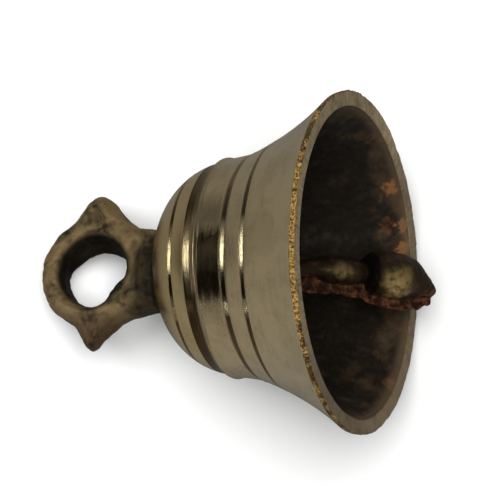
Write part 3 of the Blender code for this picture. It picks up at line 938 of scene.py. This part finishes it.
def above_crown(place, low, high):
    """Smooth step of the height above the crown face."""
    return smooth_step(place.z - CROWN_HEIGHT, low, high)


def loop_place(place):
    """Across, up and through, from the middle of the loop's hole."""
    offset = place - HOLE_MIDDLE
    return offset.dot(LOOP_ACROSS), offset.dot(LOOP_UP), offset.dot(LOOP_THROUGH)


def degrees_from(angle, middle):
    """How far an angle is from another, from 0 to 180 degrees."""
    return abs((angle - middle + 180) % 360 - 180)


def shape_hole(vert, side, rise, through):
    """Flattens the hole with a lump, narrows its back and draws it out on one side."""
    reach = math.hypot(side, rise)
    angle = math.degrees(math.atan2(rise, side))
    lump = smooth_step(degrees_from(angle, -128), 48, 0)
    lump *= smooth_step(reach, 0.0090, 0.0062) * clear_of_pin(vert.co)
    vert.co -= (LOOP_ACROSS * side + LOOP_UP * rise).normalized() * lump * 0.0010
    turn = degrees_from(angle, 8)
    narrow = smooth_step(-through, -0.0012, 0.0020) * smooth_step(turn, 95, 25)
    vert.co -= LOOP_ACROSS * narrow * smooth_step(reach, 0.0098, 0.0064) * 0.0016
    drawn = smooth_step(turn, 120, 165) * smooth_step(reach, 0.0088, 0.0062)
    vert.co -= LOOP_ACROSS * drawn * 0.0007


def shape_wing(vert, side, rise, through):
    """Draws one wing to a sharper point."""
    point = smooth_step(-side, 0.0060, 0.0150) * above_crown(vert.co, 0.0030, 0.0090)
    vert.co -= LOOP_UP * (rise - 0.0003) * point * 0.55
    vert.co -= LOOP_THROUGH * through * point * 0.30


def shape_neck(vert, side, through):
    """Draws the neck in at the dome; the boss is thin through it, the foot a little narrow."""
    vert.co -= LOOP_ACROSS * side * above_crown(vert.co, 0.0060, 0.0010) * 0.04
    excess = math.copysign(max(abs(through) - BOSS_HALF, 0.0), through)
    vert.co -= LOOP_THROUGH * excess * above_crown(vert.co, 0.0085, 0.0060) * 0.5
    foot = above_crown(vert.co, 0.0030, 0.0018) * smooth_step(abs(side), 0.0046, 0.0090)
    vert.co -= LOOP_ACROSS * side * foot * 0.10


def loop_height(place, lump_height):
    """Casting lumps of one place of the loop, none on its foot and round the pin."""
    away = lumps(place, 0.0042, 3) + lumps(place, 0.0011, 2) * 0.22
    return away * lump_height * above_crown(place, 0.0, 0.0015) * clear_of_pin(place)


def loop_hollow_shade(place):
    """How dark the loop's painted shade is in one place: in its hole, at its root and on its collar."""
    side, rise, _ = loop_place(place)
    wall = smooth_step(math.hypot(side, rise), HOLE_RADIUS + 0.0014, HOLE_RADIUS + 0.0003)
    root = above_crown(place, 0.0088, 0.0050)
    root *= smooth_step(side + lumps(place, 0.003, 2) * 0.001, 0.0062, 0.0030)
    collar = above_crown(place, 0.0030, 0.0012)
    return min(wall + root * 0.85 + collar * 0.7, 1.0)


class BELL_OT_cast_loop(bpy.types.Operator):
    """Cast the hanging loop: soft corners, lumps, worn places and painted shade"""

    bl_idname = "bell.cast_loop"
    bl_label = "Cast the loop"
    bl_options = {"REGISTER", "UNDO"}

    def execute(self, context):
        sizes = context.scene.fitting_sizes
        colours = context.scene.bell_colours
        shape = remeshed(merged_copy("crown_loop"), sizes.loop_grain, 7)
        for vert in shape.verts:
            if vert.co.xy.length < PIN_REACH and vert.co.z < PIN_TOP:
                vert.co += Vector((vert.co.x, vert.co.y, 0.0)).normalized() * PIN_EASE
            if vert.co.z < CROWN_HEIGHT - 0.0006:
                continue
            side, rise, through = loop_place(vert.co)
            shape_hole(vert, side, rise, through)
            shape_wing(vert, side, rise, through)
            shape_neck(vert, side, through)
        push_out(shape, lambda vert: loop_height(vert.co, sizes.loop_lumps))
        mark_wear(shape, 0.00045)
        # The loop's painted shade, stored for its finish.
        hollow_shade_layer = shape.verts.layers.float.new("hollow_shade")
        for vert in shape.verts:
            vert[hollow_shade_layer] = loop_hollow_shade(vert.co)
        finishes = [cast_loop_finish(colours)]
        finish_piece(shape, "hanging_loop", "bell", "crown_loop", finishes)
        return {"FINISHED"}


def clapper_directions():
    """Along the resting clapper, and square to it away from the wall, upright axes."""
    low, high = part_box("clapper")
    middle = BELL_AXES_BACK @ ((low + high) / 2)
    along = Vector((middle.x - PIVOT.x, 0.0, middle.z - PIVOT.z)).normalized()
    square = Vector((0.0, 1.0, 0.0)).cross(along)
    return along, square


# distance from the pivot and half width across of the cast clapper
CLAPPER_STATIONS = (
    (0.0048, 0.0006),
    (0.0052, 0.0015),
    (0.0060, 0.0017),
    (0.0112, 0.0017),
    (0.0122, 0.0020),
    (0.0134, 0.0024),
    (0.0160, 0.0025),
    (0.0188, 0.0024),
    (0.0200, 0.0021),
    (0.0207, 0.0018),
    (0.0211, 0.0020),
    (0.0215, 0.0029),
    (0.0224, 0.0037),
    (0.0240, 0.0041),
    (0.0262, 0.0042),
    (0.0284, 0.0041),
    (0.0303, 0.0036),
    (0.0320, 0.0028),
    (0.0336, 0.0020),
    (0.0348, 0.0012),
    (0.0356, 0.0004),
)
CLAPPER_DEPTH = 1.19         # how much thicker the casting is across the mould's joint
CLAPPER_SHIFT = 0.0009       # the mould's joint isn't in the middle
CLAPPER_TIP_BEND = 0.0010
ROD_START = 0.0075           # the eye and the start of the rod keep their shape


def clapper_skin(along, side, square):
    """The rod, the swelling, the ball and the tip, turned and then set in the eye's place."""
    outline = [(0.0, CLAPPER_STATIONS[0][0] - 0.0004)]
    outline += [(radius, far) for far, radius in CLAPPER_STATIONS]
    outline.append((0.0, CLAPPER_STATIONS[-1][0] + 0.0002))
    skin = spun(outline, [0] * len(outline), 64, False)
    placed = Matrix((side, square * CLAPPER_DEPTH, along)).transposed().to_4x4()
    placed.translation = PIVOT
    skin.transform(placed)
    for vert in skin.verts:
        far = (vert.co - PIVOT).dot(along)
        vert.co += side * CLAPPER_SHIFT * smooth_step(far, 0.006, 0.012)
    bmesh.ops.recalc_face_normals(skin, faces=skin.faces)
    return skin


def add_flash(shape, along, side, square, sizes):
    """A thin ragged plate along the mould's joint, to be fused with the casting."""
    rows = 90
    start = ROD_START
    end = CLAPPER_STATIONS[-1][0] - 0.0010
    near, far = [], []
    for row in range(rows + 1):
        distance = start + (end - start) * row / rows
        place = PIVOT + along * distance
        wobble = 0.30 * noise.noise(Vector((distance * 700.0, 3.0, 0.0)))
        wobble += 0.16 * noise.noise(Vector((distance * 2300.0, 7.0, 0.0)))
        width = from_rows(FLASH_EDGES, distance, smooth_step) + sizes.flash_reach * wobble
        near.append(shape.verts.new(place - side * max(width, 0.0002)))
        upper = from_rows(CLAPPER_STATIONS, distance, even_step) + CLAPPER_SHIFT + 0.00015
        far.append(shape.verts.new(place + side * upper))
    sheet = []
    for row in range(rows):
        corners = (near[row], near[row + 1], far[row + 1], far[row])
        sheet.append(shape.faces.new(corners))
    solid = bmesh.ops.extrude_face_region(shape, geom=sheet)
    lifted = [item for item in solid["geom"] if isinstance(item, bmesh.types.BMVert)]
    half = sizes.flash_thickness / 2
    bmesh.ops.translate(shape, verts=lifted, vec=square * half)
    bmesh.ops.translate(shape, verts=near + far, vec=-square * half)
    bmesh.ops.recalc_face_normals(shape, faces=shape.faces)


# distance from the pivot and reach of the mould's flash from the middle line
FLASH_EDGES = (
    (0.0060, 0.0015),
    (0.0100, 0.0036),
    (0.0160, 0.0034),
    (0.0200, 0.0036),
    (0.0225, 0.0044),
    (0.0250, 0.0049),
    (0.0290, 0.0050),
    (0.0318, 0.0040),
    (0.0340, 0.0021),
    (0.0360, 0.0004),
)


def joined(first, second):
    """The second shape added to the first."""
    mesh = bpy.data.meshes.new("joining")
    second.to_mesh(mesh)
    second.free()
    first.from_mesh(mesh)
    bpy.data.meshes.remove(mesh)
    return first


def clapper_height(place, lump_height):
    """Casting lumps of one place of the clapper, none on its eye."""
    away = lumps(place, 0.0026, 3) + lumps(place, 0.0008, 2) * 0.35
    return away * lump_height * smooth_step((place - PIVOT).length, 0.0035, 0.0065)


class BELL_OT_cast_clapper(bpy.types.Operator):
    """Cast the clapper with the mould's flash and a bent tip"""

    bl_idname = "bell.cast_clapper"
    bl_label = "Cast the clapper"
    bl_options = {"REGISTER", "UNDO"}

    def execute(self, context):
        sizes = context.scene.fitting_sizes
        colours = context.scene.bell_colours
        shape = merged_copy("clapper")
        along, square = clapper_directions()
        side = Vector((0.0, 1.0, 0.0))
        for vert in shape.verts:
            far = (vert.co - PIVOT).dot(along)
            if far > ROD_START:
                vert.co = PIVOT + along * (ROD_START + 0.0002)
        bmesh.ops.remove_doubles(shape, verts=shape.verts, dist=WELD)
        shape = joined(shape, clapper_skin(along, side, square))
        add_flash(shape, along, side, square, sizes)
        shape = remeshed(shape, sizes.clapper_grain, 3)
        flash_layer = shape.verts.layers.float.new("flash")
        for vert in shape.verts:
            far = (vert.co - PIVOT).dot(along)
            tip = smooth_step(far, 0.0300, 0.0356)
            vert.co -= side * tip * (CLAPPER_TIP_BEND + CLAPPER_SHIFT)
        push_out(shape, lambda vert: clapper_height(vert.co, sizes.clapper_lumps))
        for vert in shape.verts:
            offset = vert.co - PIVOT
            out = CLAPPER_SHIFT - offset.dot(side)
            body = from_rows(CLAPPER_STATIONS, offset.dot(along), even_step)
            vert[flash_layer] = smooth_step(out, body - 0.0005, body + 0.0003)
        finishes = [cast_clapper_finish(colours)]
        finish_piece(shape, "rough_clapper", "clapper", "clapper", finishes)
        return {"FINISHED"}


class BELL_OT_make_fixings(bpy.types.Operator):
    """Make the hanger wire and give the washer and the nut inside the crown a dull brass film"""

    bl_idname = "bell.make_fixings"
    bl_label = "Make the fixings"
    bl_options = {"REGISTER", "UNDO"}

    def execute(self, context):
        sizes = context.scene.fitting_sizes
        colours = context.scene.bell_colours
        wire = remeshed(merged_copy("clapper_hanger"), sizes.hanger_grain, 2)
        push_out(wire, lambda vert: lumps(vert.co, 0.0012, 2) * 0.00003)
        finishes = [iron_wire_finish(colours)]
        finish_piece(wire, "hanger_wire", "hanger", "clapper_hanger", finishes)
        film = dull_brass_finish(colours)
        for node in ("crown_washer", "crown_nut"):
            frame["nodes"][node].data.materials[0] = film
        return {"FINISHED"}


# ---------------------------------------------------------------- stage

TOWARD_CAMERA = Vector((-0.0702, -0.1695, 0.9830))
CAMERA_TOP = Vector((-0.0320, 0.9854, 0.1677))
CAMERA_DISTANCE = 1.715
CAMERA_LENS = 725.0
AIM_LEFT = 0.01947
AIM_UP = 0.00305
LEVEL_RUN = Vector((0.0, 1.0, 0.0))
LAMP_COLOUR = (0.86, 0.95, 1.0)
# name, direction, run of the long side, distance, width, height and power
LAMPS = (
    ("softbox", (-0.718, 0.082, 0.692), (0.183, 0.800, -0.372), 0.8, 0.38, 0.15, 1.10),
    ("side_lamp", (-0.592, -0.706, 0.400), LEVEL_RUN, 0.8, 0.07, 0.10, 0.10),
    ("top_lamp", (0.02, -0.34, 0.94), LEVEL_RUN, 0.9, 0.36, 0.30, 0.34),
)
TOWARD_SUN = Vector((-0.15, 0.10, 1.0))
SUN_POWER = 3.9
SUN_SPREAD = math.radians(70)
ROOM_COLOUR = (1.0, 0.99, 0.97, 1.0)
ROOM_LOW = 0.17
ROOM_HIGH = 0.24
# direction, outer and inner angle in degrees, and how much of the room's light is left there
ROOM_PATCHES = (
    ((-0.900, 0.080, 0.390), 30.0, 14.0, 0.03),
    ((-0.620, -0.430, 0.660), 38.0, 24.0, 0.10),
    ((-0.500, 0.850, 0.150), 40.0, 18.0, 0.40),
    ((0.500, 0.300, 0.800), 50.0, 20.0, 0.45),
)


def aimed(direction, top):
    """Turn that looks back along a direction, with a given top side."""
    back = direction.normalized()
    right = top.cross(back).normalized()
    up = back.cross(right)
    return Matrix((right, up, back)).transposed()


def add_softbox(name, toward, run, distance, width, height, power):
    """A panel of light whose long side runs along a direction."""
    light = bpy.data.lights.new(name, "AREA")
    light.shape = "RECTANGLE"
    light.size = width
    light.size_y = height
    light.energy = power
    light.color = LAMP_COLOUR
    box = bpy.data.objects.new(name, light)
    turn = aimed(toward, toward.cross(run)).to_4x4()
    place = BELL_AXES.translation + toward.normalized() * distance
    box.matrix_world = Matrix.Translation(place) @ turn
    box.visible_camera = False
    bpy.context.scene.collection.objects.link(box)


def make_world():
    """A grey room with a dark doorway to the left; the eye sees plain white behind the floor."""
    world = bpy.data.worlds.new("studio_room")
    bpy.context.scene.world = world
    world.use_nodes = True
    room = Nodes(world.node_tree)
    toward = room.node("ShaderNodeTexCoord").outputs["Generated"]
    light = room.band(room.parts(toward)[2], -0.1, 0.9, ROOM_LOW, ROOM_HIGH, "LINEAR")
    for direction, wide, narrow, left in ROOM_PATCHES:
        facing = room.vector("DOT_PRODUCT", toward, Vector(direction).normalized()).outputs["Value"]
        ends = [math.cos(math.radians(angle)) for angle in (wide, narrow)]
        light = room.times(light, room.band(facing, *ends, 1.0, left))
    seen = room.node("ShaderNodeLightPath").outputs["Is Camera Ray"]
    strength = room.node("ShaderNodeMix", [(0, seen), (2, light), (3, 1.0)], data_type="FLOAT")
    background = world.node_tree.nodes["Background"]
    room.feed(background.inputs["Color"], ROOM_COLOUR)
    room.feed(background.inputs["Strength"], strength.outputs[0])


class BELL_OT_set_stage(bpy.types.Operator):
    """Lay the pale floor and set the lights, the room and the camera"""

    bl_idname = "bell.set_stage"
    bl_label = "Set the stage"
    bl_options = {"REGISTER", "UNDO"}

    def execute(self, context):
        scene = context.scene
        shape = bmesh.new()
        bmesh.ops.create_grid(shape, x_segments=2, y_segments=2, size=3.0)
        mesh = bpy.data.meshes.new("floor")
        shape.to_mesh(mesh)
        shape.free()
        mesh.materials.append(floor_finish(scene.bell_colours))
        floor = bpy.data.objects.new("floor", mesh)
        scene.collection.objects.link(floor)

        make_world()
        for name, toward, run, *measures in LAMPS:
            add_softbox(name, Vector(toward), Vector(run), *measures)
        sun = bpy.data.lights.new("overhead", "SUN")
        sun.energy = SUN_POWER
        sun.angle = SUN_SPREAD
        overhead = bpy.data.objects.new("overhead", sun)
        overhead.matrix_world = aimed(TOWARD_SUN, LEVEL_RUN).to_4x4()
        overhead.visible_glossy = False
        scene.collection.objects.link(overhead)

        data = bpy.data.cameras.new("camera")
        data.sensor_width = 36.0
        data.lens = CAMERA_LENS
        data.clip_start = 0.01
        data.clip_end = 20.0
        camera = bpy.data.objects.new("camera", data)
        turn = aimed(TOWARD_CAMERA, CAMERA_TOP)
        right, up, back = turn.col
        aim = BELL_AXES.translation - right * AIM_LEFT + up * AIM_UP
        camera.matrix_world = Matrix.Translation(aim + back * CAMERA_DISTANCE) @ turn.to_4x4()
        scene.collection.objects.link(camera)
        scene.camera = camera
        scene.view_settings.view_transform = "Standard"
        return {"FINISHED"}


class BELL_PT_panel(bpy.types.Panel):
    """Makes the bell's pieces and its studio"""

    bl_label = "Altar bell"
    bl_idname = "BELL_PT_panel"
    bl_space_type = "VIEW_3D"
    bl_region_type = "UI"
    bl_category = "Bell"

    def draw(self, context):
        layout = self.layout
        for operator in OPERATORS:
            layout.operator(operator.bl_idname)
        scene = context.scene
        for group in (scene.bell_sizes, scene.fitting_sizes, scene.bell_colours):
            box = layout.box()
            for name in group.bl_rna.properties.keys():
                if name not in {"rna_type", "name"}:
                    box.prop(group, name)


OPERATORS = (
    BELL_OT_turn_bell,
    BELL_OT_cast_loop,
    BELL_OT_cast_clapper,
    BELL_OT_make_fixings,
    BELL_OT_set_stage,
)
CLASSES = (BellSizes, FittingSizes, BellColours, *OPERATORS, BELL_PT_panel)


def register():
    for made in CLASSES:
        bpy.utils.register_class(made)
    bpy.types.Scene.bell_sizes = bpy.props.PointerProperty(type=BellSizes)
    bpy.types.Scene.fitting_sizes = bpy.props.PointerProperty(type=FittingSizes)
    bpy.types.Scene.bell_colours = bpy.props.PointerProperty(type=BellColours)


def unregister():
    del bpy.types.Scene.bell_colours
    del bpy.types.Scene.fitting_sizes
    del bpy.types.Scene.bell_sizes
    for made in reversed(CLASSES):
        bpy.utils.unregister_class(made)


def main():
    register()
    bpy.ops.bell.turn_bell()
    bpy.ops.bell.cast_loop()
    bpy.ops.bell.cast_clapper()
    bpy.ops.bell.make_fixings()
    bpy.ops.bell.set_stage()


if __name__ == "__main__":
    main()
